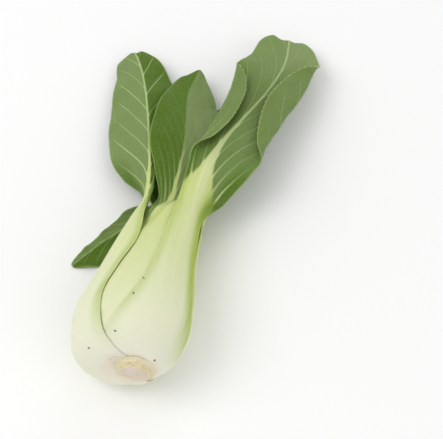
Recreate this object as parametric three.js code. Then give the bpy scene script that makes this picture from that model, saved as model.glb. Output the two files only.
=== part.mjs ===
// A head of bok choy lying on its side: a cut stem base and nine leaves packed round it in a spiral.
// Each leaf is one closed sheet, a thick crescent stalk that thins into a soft green blade.
// The head has its own frame: x to the right, y from the cut face to the leaf tips, z up.
import * as THREE from "three";

const { clamp, degToRad, lerp } = THREE.MathUtils;

// Lie of the head on the surface, in millimetres and degrees
const TIP_DROP = 6; // the leaf tips lie lower than the bulb
const AXIS_HEIGHT = 34; // from the surface to the axis at the cut face
const PRESS = 0.35; // how far the pressed skin eases before it lies flat
const GAP = 0.6; // clearance between leaves that touch

// The bulb, station by station up the head. Layers of leaf shrink from the outline
// towards a point on the axis: radius and height are the outline, core is that point's height.
// shift carries the outline sideways and lean tips its lower rim, as the bulb hangs to one side.
const BULB = [
  { radius: 9.6, height: -1.8, core: 13, shift: 0, lean: 0 },
  { radius: 19.5, height: -1.9, core: 14, shift: -3.5, lean: 0.18 },
  { radius: 29, height: 5.5, core: 17, shift: -7, lean: 0.18 },
  { radius: 33.2, height: 24, core: 27, shift: -8.3, lean: 0.05 },
  { radius: 30.2, height: 46, core: 46, shift: -6.9, lean: 0 },
  { radius: 26, height: 69, core: 69, shift: -6.8, lean: 0 },
  { radius: 22.5, height: 92, core: 92, shift: -5.2, lean: 0 },
  { radius: 19, height: 114, core: 114, shift: -3.5, lean: 0 },
  { radius: 18, height: 136, core: 136, shift: -2, lean: 0 },
];
const LEAN_CENTRE = -4;
const NECK = 7; // the station where stalk ends and blade begins
const FREE_FROM = 5.4; // from this station a leaf starts to leave the shared bulb
const FREE_BY = 7.2; // and by this one it follows its own spine

const CUT_SLANT = 8; // the knife went through at a slant, in degrees: the cut face looks a little down
const CUT_DEPTH = 4.5; // how far the middle of the cut face lies below the bulb
const CUT_RIM = 2.8; // the stem slants more and more with the face from this depth on

const COLOURS = {
  base: "#e6dcc4",
  outer: "#7f9a55",
  inner: "#6f9247",
  heart: "#8fae5c",
};

// Eases from 0 to 1 between two values.
function ease(x, from, to) {
  const t = clamp((x - from) / (to - from), 0, 1);
  return t * t * (3 - 2 * t);
}

// Value of a list of numbers at station t, by a Catmull-Rom curve with straight ends.
function along(list, t) {
  const last = list.length - 1;
  const at = clamp(t, 0, last - 1e-9);
  const i = Math.floor(at);
  const f = at - i;
  const b = list[i];
  const c = list[i + 1];
  const a = i > 0 ? list[i - 1] : 2 * b - c;
  const d = i + 2 <= last ? list[i + 2] : 2 * c - b;
  return (
    0.5 *
    (2 * b + (c - a) * f + (2 * a - 5 * b + 4 * c - d) * f * f + (3 * b - a - 3 * c + d) * f ** 3)
  );
}

const bulbAt = (key, q) => along(BULB.map((station) => station[key]), q);

// Point of the bulb at a station, a turn round the axis in degrees and a depth under the outline.
function bulbPoint(q, turn, depth) {
  const radius = bulbAt("radius", q);
  const height = bulbAt("height", q);
  const core = bulbAt("core", q);
  const part = depth / Math.hypot(radius, core - height);
  const r = radius * (1 - part);
  const side = r * Math.sin(degToRad(turn));
  return new THREE.Vector3(
    bulbAt("shift", q) + side,
    height + (core - height) * part + bulbAt("lean", q) * (side - LEAN_CENTRE),
    r * Math.cos(degToRad(turn)),
  );
}

// The leaves, outermost first. Lists run by station from the stem.
// turn: where the stalk's middle stands round the axis; spread: half its width, both in degrees.
// sink: least depth under the outline; thick: fleshiness in the middle.
// From the neck on a leaf has its own lists, in degrees and millimetres:
// spine: points of the middle line, one for each station; rib: thickness of the midrib;
// face: direction that the outside of the leaf faces, from up towards the right;
// left, right: half-widths measured along the leaf; curl: how much the halves fall towards the margins;
// fold, foldRight: how steeply they fall from the midrib, the right half like the left if it has no list;
// stripLeft, stripRight: width of the margin that is turned over, below zero before it turns.
// ripple: waves of the margin, their pitch in stations; blunt: squareness of the blade's end;
// columns and rowStep: how finely the blade is divided.
const LEAVES = [
  {
    name: "leaf_left",
    colour: COLOURS.outer,
    turn: [-98, -96, -86, -75, -66, -61, -66, -78, -80],
    spread: [80, 76, 61, 46, 38, 42, 34, 25, 22],
    sink: [0, 0, 0, 0, 0, 0, 0, 0, 0],
    thick: [2.6, 5, 7.5, 7.5, 6.5, 5.5, 5, 4.5, 4],
    spine: [
      [-21.5, 114, 4],
      [-24.3, 134, 4.5],
      [-29.3, 154, 5],
      [-34.8, 174, 4.5],
      [-41.3, 195, 3.5],
      [-48.7, 214, 2],
      [-57, 230, -1],
    ],
    face: [-62, -22, -10, -8, -8, -10, -12],
    left: [7, 21, 27, 26, 23, 18, 14],
    right: [3.6, 4.1, 14, 22, 21, 15, 9],
    fold: [8, 14, 14, 13, 12, 10, 8],
    foldRight: [10, 36, 38, 32, 24, 16, 8],
    curl: [22, 10, 8, 8, 10, 12, 14],
    rib: [3.4, 2.6, 2.3, 2, 1.6, 1.3, 1.1],
    ripple: { size: 0.8, pitch: 1.35, phase: 0.4 },
    blunt: 5,
    columns: 13,
  },
  {
    name: "leaf_right",
    colour: COLOURS.outer,
    turn: [35, 35, 36, 41, 39, 41, 41, 41, 41],
    spread: [64, 64, 57, 42, 33, 30, 30, 30, 30],
    sink: [0, 0.2, 0.2, 0.2, 0.2, 0.2, 0.2, 0.2, 0.2],
    thick: [2.6, 5, 8, 8, 7, 6, 5.5, 5, 4.5],
    spine: [
      [9, 113.5, 16],
      [11.3, 132, 17.5],
      [16.3, 152, 17.5],
      [24, 172, 17],
      [31.7, 192, 15.5],
      [37.3, 212, 13],
      [40, 232, 10],
      [38.5, 255.5, 6],
    ],
    face: [30, 12, 8, 8, 8, 8, 8, 8],
    left: [9.5, 12, 20, 26, 31, 27, 22.5, 14],
    right: [19, 23, 28, 34, 37, 35, 23, 10],
    fold: [10, 10, 8, 8, 8, 8, 8, 8],
    curl: [18, -6, -8, -10, -10, -8, -4, 0],
    stripLeft: [-8, -4, 4, 7, 6, -3, -9, -9],
    stripRight: [-9, -7, -1, 8, 13, 11, 1, -9],
    rib: [5, 3.8, 3, 2.4, 2, 1.6, 1.3, 1.1],
    ripple: { size: 1.2, pitch: 1.5, phase: 2 },
    blunt: 6,
    columns: 21,
    rowStep: 0.34,
  },
  {
    name: "leaf_back_left",
    colour: COLOURS.outer,
    turn: [-150, -150, -154, -160, -162, -164, -166, -166, -166],
    spread: [60, 60, 58, 48, 38, 30, 28, 26, 26],
    sink: [0, 0.8, 0.8, 0.8, 0.8, 0.8, 0.8, 0.8, 0.8],
    thick: [2.6, 5, 7, 7, 6, 5, 4.5, 4, 4],
    spine: [
      [-15, 106, -22],
      [-24, 110.5, -22.4],
      [-34, 104, -23.2],
      [-43.5, 94, -24.2],
      [-51, 84, -25.2],
      [-57, 75.5, -25.9],
    ],
    face: [-172, -178, -182, -182, -182, -182],
    left: [10, 14, 9, 5.6, 4.2, 3],
    right: [5, 7, 12.5, 15, 11, 5],
    fold: [8, 4, 2, 2, 2, 2],
    curl: [14, 2, 0, 0, 0, 0],
    rib: [4, 3, 2.4, 1.8, 1.4, 1.1],
    ripple: { size: 0.9, pitch: 1.2, phase: 1 },
    columns: 11,
  },
  {
    name: "leaf_back_right",
    colour: COLOURS.outer,
    turn: [125, 125, 125, 122, 116, 112, 112, 112, 112],
    spread: [58, 58, 54, 46, 40, 34, 30, 28, 28],
    sink: [0, 2.6, 2, 0.8, 0.8, 0.8, 0.8, 0.8, 0.8],
    thick: [2.6, 5, 7, 7, 6, 5, 4.5, 4, 4],
    spine: [
      [14.5, 113, -5.5],
      [17.5, 131, -9.2],
      [19.5, 149, -10.5],
      [21.5, 166, -13],
      [23, 180, -15.2],
    ],
    face: [118, 150, 165, 172, 175],
    left: [8.5, 11, 12, 11, 8],
    right: [8.5, 11, 12, 11, 8],
    fold: [10, 8, 6, 6, 6],
    curl: [24, 14, 10, 8, 8],
    rib: [4, 3, 2, 1.6, 1.2],
    ripple: { size: 1.2, pitch: 1.3, phase: 0 },
    columns: 9,
  },
  {
    name: "leaf_middle",
    colour: COLOURS.inner,
    turn: [-12, -12, -12, -10, -6, -2, 2, 5, 6],
    spread: [52, 52, 46, 38, 36, 29, 22, 18, 16],
    sink: [3, 3, 3.3, 3.2, 2.6, 2.2, 2.2, 2, 2],
    thick: [2.4, 4.5, 6, 6, 5.5, 5, 4.5, 4, 3.5],
    spine: [
      [5, 113, 8.8],
      [10, 131, 9.8],
      [16.5, 151, 10.5],
      [23, 171, 10],
      [29.5, 190, 8.5],
      [34, 207, 6],
    ],
    face: [5, 8, 8, 8, 8, 8],
    left: [4, 7, 11, 14, 14, 10],
    right: [6, 13, 17, 17, 15, 10],
    fold: [8, 8, 8, 8, 8, 8],
    curl: [14, 8, 6, 6, 6, 6],
    rib: [4, 3, 2.3, 1.8, 1.4, 1.1],
    ripple: { size: 0.8, pitch: 1.3, phase: 1 },
    columns: 13,
  },
  {
    name: "leaf_under",
    colour: COLOURS.inner,
    turn: [180, 180, 180, 180, 180, 182, 184, 186, 186],
    spread: [54, 54, 48, 42, 38, 32, 28, 26, 26],
    sink: [3, 2.5, 2.2, 2, 2, 2, 2, 2, 2],
    thick: [2.4, 4.5, 6, 6, 5.5, 5, 4.5, 4, 3.5],
    spine: [
      [-5, 113, -14],
      [-7.5, 132, -14.5],
      [-11, 152, -14.5],
      [-15, 172, -13.5],
      [-18, 190, -12],
    ],
    face: [184, 184, 184, 184, 184],
    left: [8, 13, 16, 15, 11],
    right: [12, 19, 18, 15, 11],
    fold: [8, 6, 4, 4, 4],
    curl: [16, 2, 0, 0, 0],
    rib: [4, 3, 2, 1.5, 1.2],
    ripple: { size: 0.9, pitch: 1.3, phase: 2 },
    columns: 9,
  },
  {
    name: "leaf_inner",
    colour: COLOURS.inner,
    turn: [-40, -40, -36, -30, -22, -20, -18, -12, -8],
    spread: [50, 50, 44, 38, 38, 40, 38, 36, 36],
    sink: [6, 8, 9, 9, 9, 7.5, 5, 4.5, 5],
    thick: [2, 3.6, 4.6, 4.6, 4.2, 3.8, 3.4, 3, 3],
    spine: [
      [-7, 112, 2.5],
      [-6.5, 133, 5],
      [-7.5, 154, 6.3],
      [-10.8, 175, 6.5],
      [-14, 196, 5.5],
      [-12, 218.5, 3],
    ],
    face: [-6, -4, -2, 0, 2, 4],
    left: [7.5, 14.5, 21, 20, 15, 8],
    right: [10.5, 18, 19.5, 20, 17, 9],
    fold: [-6, -9, -9, -6, 2, 8],
    foldRight: [8, 6, 5, 5, 6, 10],
    curl: [8, 4, 4, 6, 10, 20],
    rib: [3.4, 2.8, 2.2, 1.8, 1.4, 1.1],
    ripple: { size: 1, pitch: 1.25, phase: 0.2 },
    columns: 13,
  },
  {
    name: "leaf_heart",
    colour: COLOURS.heart,
    turn: [90, 90, 95, 100, 100, 100, 100, 100, 100],
    spread: [50, 50, 50, 46, 44, 42, 40, 36, 36],
    sink: [9, 13, 15, 16, 16, 13, 10, 9, 9],
    thick: [1.8, 2.6, 3.2, 3.4, 3.2, 3, 2.6, 2.4, 2.4],
    spine: [
      [3.5, 112, -5],
      [5, 132, -2.8],
      [5, 152, -2],
      [6, 173, -2.5],
      [7, 195, -3.5],
    ],
    face: [75, 30, 10, 4, 4],
    left: [4.5, 8, 11, 12, 9],
    right: [5, 9, 12, 12, 9],
    fold: [6, 4, 4, 4, 4],
    curl: [24, 12, 8, 8, 8],
    rib: [2.6, 2.2, 1.8, 1.4, 1.1],
    ripple: { size: 0.8, pitch: 1.3, phase: 0 },
    columns: 9,
  },
  {
    name: "leaf_bud",
    colour: COLOURS.heart,
    turn: [-90, -90, -95, -100, -100, -100, -100, -100, -100],
    spread: [48, 48, 50, 50, 50, 50, 46, 44, 44],
    sink: [10.5, 17, 20, 21, 21, 18, 15, 13, 13],
    thick: [1.6, 2, 2.4, 2.4, 2.2, 2, 1.8, 1.6, 1.6],
    spine: [
      [-8, 111, -5],
      [-8.5, 127, -6],
      [-8.5, 142, -7],
    ],
    face: [-80, -20, 0],
    left: [4, 5, 4.5],
    right: [4, 5, 4.5],
    fold: [6, 6, 6],
    curl: [24, 20, 16],
    rib: [2, 1.6, 1.2],
    ripple: { size: 0.5, pitch: 1.2, phase: 0 },
    columns: 7,
  },
];

const EDGE = 1.3; // thickness of a stalk's margin
const BLADE = 1; // thickness of a blade between its veins
const COVER = [8, 17]; // how far past its margin a leaf still holds the next one down
const SOFT_STEP = 0.8; // softness of the step where one leaf comes out from under another
const SECTION_STEPS = 24; // steps that trace a section from midrib to margin
const ROLL = 168; // how far a margin turns over, in degrees
const ROLL_WIDTH = 8; // width of the bend that turns it over
const ROLL_FROM = [-9, 4]; // it turns over bit by bit while its strip widens between these
const ROLL_FADE = [0.5, 1.7]; // and it lies open again between these stations before the tip
const NO_STRIP = -9; // strip width of a margin that lies open
const BEND_COLUMNS = [0.5, 0.8]; // columns between these shares lie in the bend
const BEND_LEAST = 0.4; // shares of the half-width that the bend's columns keep to
const BEND_MOST = 0.78;
const BEND_SHORTEST = 0.1;
const BEND_LAST = 0.92;
const TIP_ROUND = 1.1; // stations over which the blade's end rounds off
const TIP_LEAST = 1.2; // half-width that it keeps at the very end
const BLUNT = 3; // squareness of a blade's end
const LEAD = 2; // stations of the bulb that lead into a leaf's own lists
const LEAD_WIDTH = 0.9; // a stalk's own width there, as a share of its arc on the bulb
const CREASE = 0.15; // share of the half-width over which the halves bend down from the midrib
const BLADE_FROM = NECK - 0.7; // the stalk's flesh thins into a blade between these stations
const BLADE_BY = NECK + 0.5;
const RIB_FROM = NECK - 0.5; // and the midrib narrows to its own width between these
const RIB_BY = NECK + 1;
const RIB_SPREAD = 1.2; // how much further a midrib's slope reaches than it is thick
const RIB_PROUD = 0.55; // share of the midrib's thickness that stands out on the leaf's outside
const RIPPLE_SHARE = [0.35, 1.15]; // the ripple grows towards the margin between these shares
const RIPPLE_LAG = 1.3; // phase by which one margin's ripple is ahead of the middle
const STALK_ROWS = [0, 0.35, 0.7, 1, 1.25, 1.5, 1.75, 2, 2.3, 2.7, 3, 3.3, 3.8, 4.4, 5, 5.5, 6, 6.5];
const ROW_STEP = 0.5; // stations from row to row of a blade
const TIP_TURNS = [0, 35, 58, 76, 90]; // and its last rows, in degrees of the round end

const lastStation = (leaf) => NECK + leaf.spine.length - 1;

// Place of a station in a leaf's own lists, once the stations before the neck are put in front.
const inList = (q) => q - NECK + LEAD;

// Angle from one turn to another, between -180 and 180 degrees.
const turnBetween = (to, from) => ((((to - from + 180) % 360) + 360) % 360) - 180;

// Thickness of a stalk at a share v of its half-width.
function stalkThickness(leaf, q, v) {
  const middle = along(leaf.thick, q);
  return EDGE + (middle - EDGE) * Math.max(0, 1 - v * v) ** 0.8;
}

// Depth under the bulb's outline of a leaf's outside, with every leaf outside it cleared.
function layerDepth(leaf, q, turn) {
  let cleared = 0;
  for (const other of LEAVES) {
    const least = along(other.sink, q);
    const depth = 0.5 * (least + cleared + Math.hypot(least - cleared, SOFT_STEP));
    if (other === leaf) return depth;
    const spread = along(other.spread, q);
    const v = turnBetween(turn, along(other.turn, q)) / spread;
    const past = (Math.abs(v) - 1) * degToRad(spread) * bulbAt("radius", q);
    const held = depth + stalkThickness(other, q, clamp(v, -1, 1)) + GAP;
    cleared = Math.max(cleared, held * (1 - ease(past, ...COVER)));
  }
}

// Outside and inside of a stalk while it is part of the bulb.
function bulbSkin(leaf, q, v) {
  const turn = along(leaf.turn, q) + v * along(leaf.spread, q);
  const depth = layerDepth(leaf, q, turn);
  return {
    outside: bulbPoint(q, turn, depth),
    inside: bulbPoint(q, turn, depth + stalkThickness(leaf, q, v)),
  };
}

// The line that a leaf's middle follows: the bulb's last stations, then its own spine.
function spineOf(leaf) {
  const points = [];
  for (let q = NECK - LEAD; q < NECK; q++) points.push(bulbSkin(leaf, q, 0).outside);
  for (const point of leaf.spine) points.push(new THREE.Vector3(...point));
  return points;
}

for (const leaf of LEAVES) {
  const before = [NECK - 2, NECK - 1];
  const arcs = before.map((q) => degToRad(along(leaf.spread, q)) * bulbAt("radius", q));
  const wide = arcs.map((arc) => arc * LEAD_WIDTH);
  const open = leaf.spine.map(() => NO_STRIP);
  leaf.middleLine = spineOf(leaf);
  leaf.face = [...before.map((q) => along(leaf.turn, q)), ...leaf.face];
  leaf.left = [...wide, ...leaf.left];
  leaf.right = [...wide, ...leaf.right];
  leaf.fold = [0, 0, ...leaf.fold];
  leaf.curl = [...before.map((q) => along(leaf.spread, q)), ...leaf.curl];
  leaf.rib = [...before.map((q) => along(leaf.thick, q)), ...leaf.rib];
  leaf.turned = Boolean(leaf.stripLeft);
  leaf.foldRight = leaf.foldRight ? [0, 0, ...leaf.foldRight] : leaf.fold;
  leaf.stripLeft = [NO_STRIP, NO_STRIP, ...(leaf.stripLeft ?? open)];
  leaf.stripRight = [NO_STRIP, NO_STRIP, ...(leaf.stripRight ?? open)];
}

// Point and direction of a leaf's spine at a station.
function spineAt(leaf, q) {
  const t = inList(q);
  const at = (s) =>
    new THREE.Vector3(
      along(leaf.middleLine.map((p) => p.x), s),
      along(leaf.middleLine.map((p) => p.y), s),
      along(leaf.middleLine.map((p) => p.z), s),
    );
  const end = leaf.middleLine.length - 1;
  const ahead = at(Math.min(t + 0.05, end));
  const behind = at(Math.max(Math.min(t, end) - 0.05, 0));
  return { point: at(t), direction: ahead.sub(behind).normalize() };
}

// How near a station is to the leaf's end, from 0 where the end starts to round off to 1.
const nearTip = (leaf, q) => clamp((q - (lastStation(leaf) - TIP_ROUND)) / TIP_ROUND, 0, 1);

// Half-width of a leaf to one side of its midrib, rounded off towards the end.
function halfWidth(leaf, q, side) {
  const round = Math.sqrt(1 - nearTip(leaf, q) ** (leaf.blunt ?? BLUNT));
  const full = along(side > 0 ? leaf.right : leaf.left, inList(q));
  return Math.max(full * round, TIP_LEAST);
}

// Where a margin's bend starts and ends, as shares of the half-width, and how far it turns over.
function bendOf(leaf, q, side, half) {
  const strip = along(side > 0 ? leaf.stripRight : leaf.stripLeft, inList(q));
  const end = 1 - strip / half;
  const [open, full] = ROLL_FADE;
  const turned = ease(strip, ...ROLL_FROM) * ease(lastStation(leaf) - q, open, full);
  return { start: end - ROLL_WIDTH / half, end, roll: degToRad(ROLL) * turned };
}

// Share of the half-width at which a column stands: columns gather in the bend of a turned margin.
function columnShare(leaf, q, column) {
  if (!leaf.turned) return column;
  const side = Math.sign(column) || 1;
  const bend = bendOf(leaf, q, side, halfWidth(leaf, q, side));
  const start = clamp(bend.start, BEND_LEAST, BEND_MOST);
  const end = clamp(bend.end, start + BEND_SHORTEST, BEND_LAST);
  const u = Math.abs(column);
  const [from, to] = BEND_COLUMNS;
  if (u < from) return side * start * (u / from);
  if (u < to) return side * lerp(start, end, (u - from) / (to - from));
  return side * lerp(end, 1, (u - to) / (1 - to));
}

// Outside and inside of a leaf that follows its own spine.
function bladeSkin(leaf, q, v) {
  const t = inList(q);
  const { point, direction } = spineAt(leaf, q);
  const facing = degToRad(along(leaf.face, t));
  const out = new THREE.Vector3(Math.sin(facing), 0, Math.cos(facing));
  const across = direction.clone().cross(out).normalize();
  const normal = across.clone().cross(direction);

  const side = Math.sign(v) || 1;
  const half = halfWidth(leaf, q, side);
  const share = Math.abs(v);
  const fold = degToRad(along(side > 0 ? leaf.foldRight : leaf.fold, t));
  const curl = degToRad(along(leaf.curl, t));
  const bend = bendOf(leaf, q, side, half);
  const slope = (s) =>
    fold * ease(s, -CREASE, CREASE) + curl * s - bend.roll * ease(s, bend.start, bend.end);

  let reach = 0;
  let rise = 0;
  const step = share / SECTION_STEPS;
  for (let i = 0; i < SECTION_STEPS; i++) {
    const angle = slope((i + 0.5) * step);
    reach += Math.cos(angle) * step * half;
    rise -= Math.sin(angle) * step * half;
  }
  const tilt = slope(share);
  const sheetNormal = normal
    .clone()
    .multiplyScalar(Math.cos(tilt))
    .addScaledVector(across, side * Math.sin(tilt));

  // The midrib stands out on both sides of the blade and thins towards the tip.
  const blade = ease(q, BLADE_FROM, BLADE_BY);
  const rib = along(leaf.rib, t);
  const ribWidth = lerp(half, RIB_SPREAD + rib, ease(q, RIB_FROM, RIB_BY));
  const bell = lerp((1 - share * share) ** 0.8, Math.exp(-(((share * half) / ribWidth) ** 2)), blade);
  const edge = lerp(EDGE, BLADE, blade);
  const thickness = edge + Math.max(rib - edge, 0) * bell;
  const proud = (thickness - edge) * RIB_PROUD * blade;

  // The margins ripple more the further they are from the midrib.
  const { size, pitch, phase } = leaf.ripple;
  const wave = Math.sin((2 * Math.PI * q) / pitch + phase + side * RIPPLE_LAG) * size;
  const calm = (1 - 0.8 * nearTip(leaf, q)) * (1 - 0.7 * (bend.roll / degToRad(ROLL)));
  const ripple = wave * blade * ease(share, ...RIPPLE_SHARE) * calm;

  const outside = point
    .clone()
    .addScaledVector(across, side * reach)
    .addScaledVector(normal, rise)
    .addScaledVector(sheetNormal, proud + ripple);
  const inward = sheetNormal.lerp(normal, bell).normalize();
  return { outside, inside: outside.clone().addScaledVector(inward, -thickness) };
}

// Lays a point of the head's own frame down on the surface.
function layDown(point) {
  const drop = degToRad(TIP_DROP);
  const { x, y, z } = point;
  return new THREE.Vector3(
    x,
    y * Math.cos(drop) + z * Math.sin(drop),
    z * Math.cos(drop) - y * Math.sin(drop) + AXIS_HEIGHT,
  );
}

// Height that a point at height z keeps once the surface presses it: never below zero.
function pressed(z) {
  if (z > PRESS) return z;
  if (z < -PRESS) return 0;
  return (z + PRESS) ** 2 / (4 * PRESS);
}

// Outside and inside of a leaf at station q and share v of its half-width, laid down and pressed.
function leafSkin(leaf, q, v) {
  const free = ease(q, FREE_FROM, FREE_BY);
  let skin;
  if (free === 0) skin = bulbSkin(leaf, q, v);
  else if (free === 1) skin = bladeSkin(leaf, q, v);
  else {
    const stalk = bulbSkin(leaf, q, v);
    const blade = bladeSkin(leaf, q, v);
    skin = {
      outside: stalk.outside.lerp(blade.outside, free),
      inside: stalk.inside.lerp(blade.inside, free),
    };
  }
  const outside = layDown(skin.outside);
  const inside = layDown(skin.inside);
  const lowest = Math.min(outside.z, inside.z);
  const lift = pressed(lowest) - lowest;
  outside.z += lift;
  inside.z += lift;
  return { outside, inside };
}

// Stations of a leaf's rows: close together where the base turns and where the tip rounds off.
function rowsOf(leaf) {
  const rows = [...STALK_ROWS];
  const end = lastStation(leaf);
  for (let q = NECK; q < end - TIP_ROUND - 0.1; q += leaf.rowStep ?? ROW_STEP) rows.push(q);
  for (const turn of TIP_TURNS) rows.push(end - TIP_ROUND * (1 - Math.sin(degToRad(turn))));
  return rows;
}

// A closed sheet from two grids of points, split into triangles alike on both faces.
function sheetGeometry(rows) {
  const height = rows.length;
  const width = rows[0].length;
  const positions = [];
  for (const face of ["outside", "inside"])
    for (const row of rows) for (const skin of row) positions.push(...skin[face].toArray());
  const outer = (r, c) => r * width + c;
  const inner = (r, c) => height * width + r * width + c;
  const faces = [];
  for (let r = 0; r < height - 1; r++)
    for (let c = 0; c < width - 1; c++) {
      const corners = [[r, c], [r, c + 1], [r + 1, c + 1], [r + 1, c]];
      const [a, b, d, e] = corners.map((corner) => outer(...corner));
      const [k, l, m, n] = corners.map((corner) => inner(...corner));
      faces.push(a, b, d, a, d, e, k, m, l, k, n, m);
    }
  const rim = [];
  for (let c = 0; c < width - 1; c++) rim.push([0, c]);
  for (let r = 0; r < height - 1; r++) rim.push([r, width - 1]);
  for (let c = width - 1; c > 0; c--) rim.push([height - 1, c]);
  for (let r = height - 1; r > 0; r--) rim.push([r, 0]);
  rim.forEach((corner, i) => {
    const next = rim[(i + 1) % rim.length];
    faces.push(outer(...corner), inner(...corner), inner(...next));
    faces.push(outer(...corner), inner(...next), outer(...next));
  });
  const geometry = new THREE.BufferGeometry();
  geometry.setAttribute("position", new THREE.Float32BufferAttribute(positions, 3));
  geometry.setIndex(faces);
  return geometry;
}

// Columns of a leaf's grid, from the left margin to the right one.
function columnsOf(leaf) {
  const columns = [];
  for (let i = 0; i < leaf.columns; i++) columns.push((2 * i) / (leaf.columns - 1) - 1);
  return columns;
}

function leafMesh(leaf) {
  const rows = rowsOf(leaf).map((q) =>
    columnsOf(leaf).map((column) => leafSkin(leaf, q, columnShare(leaf, q, column))),
  );
  const material = new THREE.MeshStandardMaterial({ color: leaf.colour, roughness: 0.5 });
  const mesh = new THREE.Mesh(sheetGeometry(rows), material);
  mesh.name = leaf.name;
  return mesh;
}

// The stem base: a short round stub with a flat cut face, and the core that the leaves grow from.
function stemBase() {
  const profile = [
    [0, -CUT_DEPTH],
    [8.8, -CUT_DEPTH],
    [9.9, -3.7],
    [9.8, -CUT_RIM],
    [9.1, -2.2],
    [0, 12.1],
  ].map(([radius, height]) => new THREE.Vector2(radius, height));
  const geometry = new THREE.LatheGeometry(profile, 28);
  const position = geometry.getAttribute("position");
  for (let i = 0; i < position.count; i++) {
    const point = new THREE.Vector3().fromBufferAttribute(position, i);
    const slanted = clamp((-point.y - CUT_RIM) / (CUT_DEPTH - CUT_RIM), 0, 1);
    point.y -= slanted * point.z * Math.tan(degToRad(CUT_SLANT));
    point.copy(layDown(point));
    position.setXYZ(i, point.x, point.y, point.z);
  }
  const material = new THREE.MeshStandardMaterial({ color: COLOURS.base, roughness: 0.7 });
  const mesh = new THREE.Mesh(geometry, material);
  mesh.name = "stem_base";
  return mesh;
}

const head = new THREE.Group();
head.add(stemBase());
for (const leaf of LEAVES) head.add(leafMesh(leaf));

// The origin goes to the middle of the footprint, on the surface.
const box = new THREE.Box3().setFromObject(head);
const middle = box.getCenter(new THREE.Vector3());
for (const mesh of head.children) mesh.position.set(-middle.x, -middle.y, -box.min.z);

export default head;
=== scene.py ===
# %% [markdown]
# A head of bok choy lies on a pale table. It is a cut stem with fleshy leaf stalks packed round it
# in a spiral, and each stalk opens into a green blade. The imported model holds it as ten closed
# solids, one for each leaf and one for the stem. Here each solid gets a finer mesh of the same
# shape, made from the same formulas, because the veins, ribs and thin margins need many more
# points than a solid for physics does.

# %% Frame
import math

import bmesh
import bpy
import numpy as np
from mathutils import Matrix, Vector


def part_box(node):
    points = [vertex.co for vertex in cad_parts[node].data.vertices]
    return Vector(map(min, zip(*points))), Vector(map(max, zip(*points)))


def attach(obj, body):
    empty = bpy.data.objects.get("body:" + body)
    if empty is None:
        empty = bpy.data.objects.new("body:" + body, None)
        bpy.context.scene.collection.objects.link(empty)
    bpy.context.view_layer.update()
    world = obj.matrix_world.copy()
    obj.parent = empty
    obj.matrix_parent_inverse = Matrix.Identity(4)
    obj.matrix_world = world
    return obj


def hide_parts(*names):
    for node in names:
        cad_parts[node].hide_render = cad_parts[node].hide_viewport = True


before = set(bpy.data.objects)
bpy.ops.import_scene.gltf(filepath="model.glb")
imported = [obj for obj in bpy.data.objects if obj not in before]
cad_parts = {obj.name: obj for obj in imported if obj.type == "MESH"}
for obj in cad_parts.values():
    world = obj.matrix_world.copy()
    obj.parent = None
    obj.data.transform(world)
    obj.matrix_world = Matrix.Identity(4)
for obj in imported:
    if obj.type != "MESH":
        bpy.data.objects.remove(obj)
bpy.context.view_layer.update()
print("solids:", sorted(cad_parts))

# %% [markdown]
# The head has its own frame in millimetres: x to the right, y from the cut face to the tips, z up.
# Station numbers run up the head. Stations 0 to 7 climb the bulb, where all stalks share one
# outline, and from station 7 on each leaf follows its own middle line. A smooth curve through the
# values at the stations gives every size in between.

# %% Sizes of the head
MM = 1000
TIP_DROP = math.radians(6)
AXIS_HEIGHT = 34
PRESS = 0.35
GAP = 0.1
EDGE = 0.5
FEATHER = 0.38
FEATHER_FROM = 0.86
CUT_DEPTH = 4.5
CUT_RADIUS = 8.8
CUT_SLANT = math.radians(8)
CUT_RIM = 2.8
NECK = 7
FREE_FROM = 5.4
FREE_BY = 7.2
SWELL = 0.8
LEAN_CENTRE = -4
COVER = (8, 17)
SOFT_STEP = 0.8
ROLL = math.radians(168)
ROLL_WIDTH = 8
ROLL_FROM = (-9, 4)
ROLL_FADE = (0.5, 1.7)
NO_STRIP = -9
TIP_ROUND = 1.1
TIP_LEAST = 1.2

BULB = {
    "radius": [9.6, 19.5, 29, 33.2, 30.2, 26, 22.5, 19, 18],
    "height": [-1.8, -1.9, 5.5, 24, 46, 69, 92, 114, 136],
    "core": [13, 14, 17, 27, 46, 69, 92, 114, 136],
    "shift": [0, -3.5, -7, -8.3, -6.9, -6.8, -5.2, -3.5, -2],
    "lean": [0, 0.18, 0.18, 0.05, 0, 0, 0, 0, 0],
}
print("bulb", 2 * max(BULB["radius"]), "mm wide")

# %% [markdown]
# The whole head leans a few degrees, tips down, and rests its weight on the table, which presses
# its lowest skin flat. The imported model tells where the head's own frame lies on the table: the
# stem's box gives the shift, because its slanted cut face reaches furthest at its upper edge.

# %% Lay the head on the table


def find_place():
    low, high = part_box("stem_base")
    face_top = CUT_DEPTH + CUT_RADIUS * math.tan(CUT_SLANT)
    reach = face_top * math.cos(TIP_DROP) - CUT_RADIUS * math.sin(TIP_DROP)
    return np.array([(low.x + high.x) / 2 * MM, low.y * MM + reach, 0])


PLACE = find_place()


def lay_down(points):
    x, y, z = np.moveaxis(np.asarray(points, float), -1, 0)
    sin_d, cos_d = math.sin(TIP_DROP), math.cos(TIP_DROP)
    laid = [x, y * cos_d + z * sin_d, z * cos_d - y * sin_d + AXIS_HEIGHT]
    return np.stack(laid, -1) + PLACE


def rest_on_table(outside, inside):
    low = np.minimum(outside[..., 2], inside[..., 2])
    eased = np.maximum(low + PRESS, 0) ** 2 / (4 * PRESS)
    lift = np.where(low > PRESS, 0, eased - low)
    for points in (outside, inside):
        points[..., 2] += lift
    return outside, inside


print("the head's frame starts at", PLACE.round(3))

# %% [markdown]
# The camera comes early, so that every later step can be judged from the same place. It looks
# down on the table from the cut end. The middle of the cut face is held at a known spot of the
# picture, which fixes where the camera stands once its direction, distance and lens are chosen.

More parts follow.
